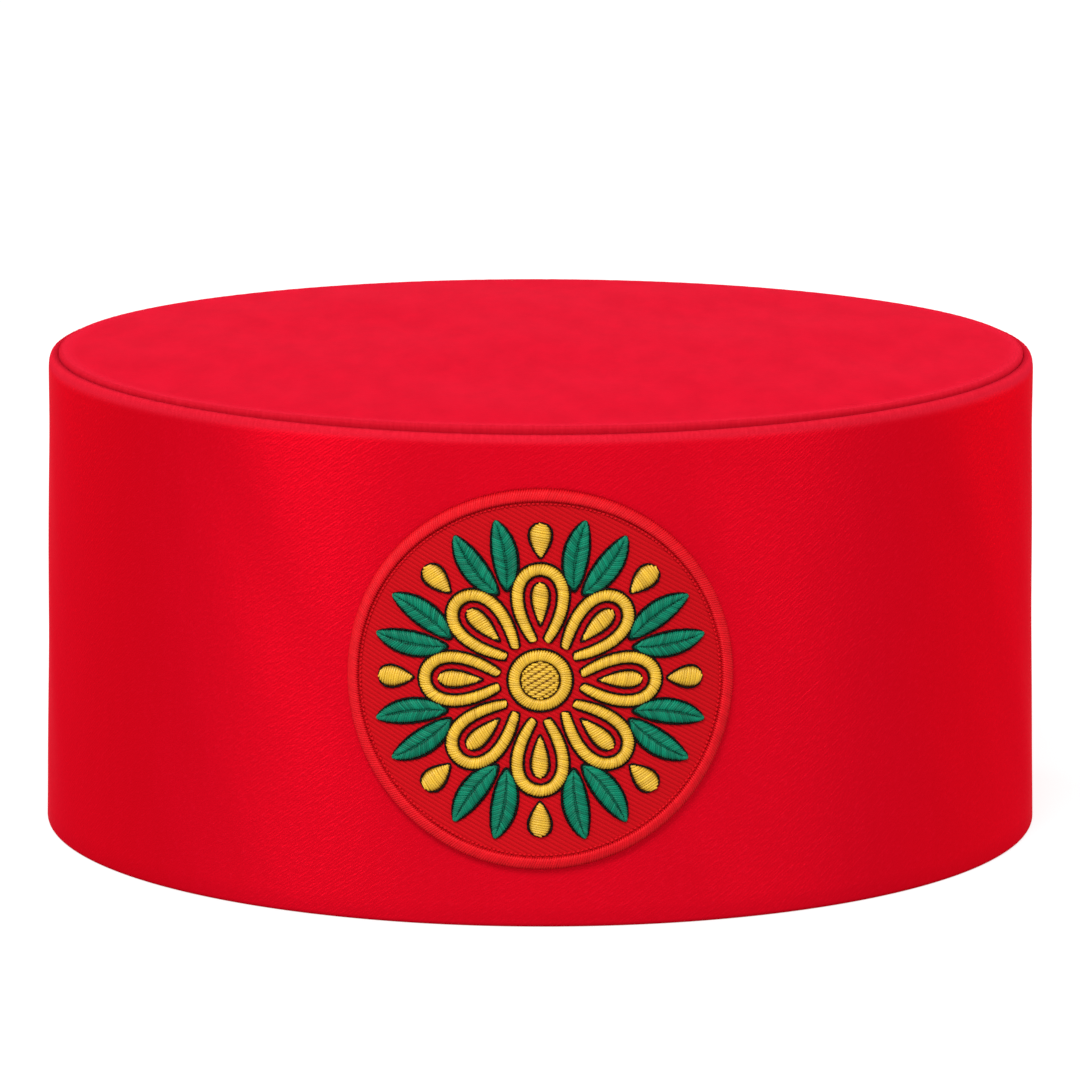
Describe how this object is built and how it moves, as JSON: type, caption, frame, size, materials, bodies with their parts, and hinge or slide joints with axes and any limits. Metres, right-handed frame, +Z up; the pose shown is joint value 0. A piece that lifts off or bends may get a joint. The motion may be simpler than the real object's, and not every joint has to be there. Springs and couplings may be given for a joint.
{
  "type": "crown cap",
  "caption": "Oval flat-topped cap with straight stiff cloth sides, a seamed crown panel and a round embroidered badge at the front, worn on the head.",
  "frame": {"origin": "centre of the cap's oval in the plane of its rim, where it rests on a surface", "axes": "+Z up to the flat crown, -Y towards the front where the badge is, +X to the right of someone who faces the badge"},
  "size_m": [0.186, 0.2063, 0.089],
  "materials": {
    "red_cloth": "fine smooth red gabardine with a soft sheen",
    "red_twill": "matt red badge twill with fine diagonal cords",
    "red_thread": "satin red overlock thread",
    "gold_thread": "glossy golden yellow satin stitching",
    "green_thread": "glossy green satin stitching"
  },
  "bodies": {
    "root": {"side_band": "red_cloth", "crown_panel": "red_cloth", "badge_ground": "red_twill", "badge_edge": "red_thread", "heart": "gold_thread", "petal_loop_1": "gold_thread", "petal_loop_2": "gold_thread", "petal_loop_3": "gold_thread", "petal_loop_4": "gold_thread", "petal_loop_5": "gold_thread", "petal_loop_6": "gold_thread", "petal_loop_7": "gold_thread", "petal_loop_8": "gold_thread", "petal_drop_1": "gold_thread", "petal_drop_2": "gold_thread", "petal_drop_3": "gold_thread", "petal_drop_4": "gold_thread", "petal_drop_5": "gold_thread", "petal_drop_6": "gold_thread", "petal_drop_7": "gold_thread", "petal_drop_8": "gold_thread", "leaf_left_1": "green_thread", "leaf_left_2": "green_thread", "leaf_left_3": "green_thread", "leaf_left_4": "green_thread", "leaf_left_5": "green_thread", "leaf_left_6": "green_thread", "leaf_left_7": "green_thread", "leaf_left_8": "green_thread", "leaf_right_1": "green_thread", "leaf_right_2": "green_thread", "leaf_right_3": "green_thread", "leaf_right_4": "green_thread", "leaf_right_5": "green_thread", "leaf_right_6": "green_thread", "leaf_right_7": "green_thread", "leaf_right_8": "green_thread", "bud_1": "gold_thread", "bud_2": "gold_thread", "bud_3": "gold_thread", "bud_4": "gold_thread", "bud_5": "gold_thread", "bud_6": "gold_thread", "bud_7": "gold_thread", "bud_8": "gold_thread"}
  },
  "joints": []
}
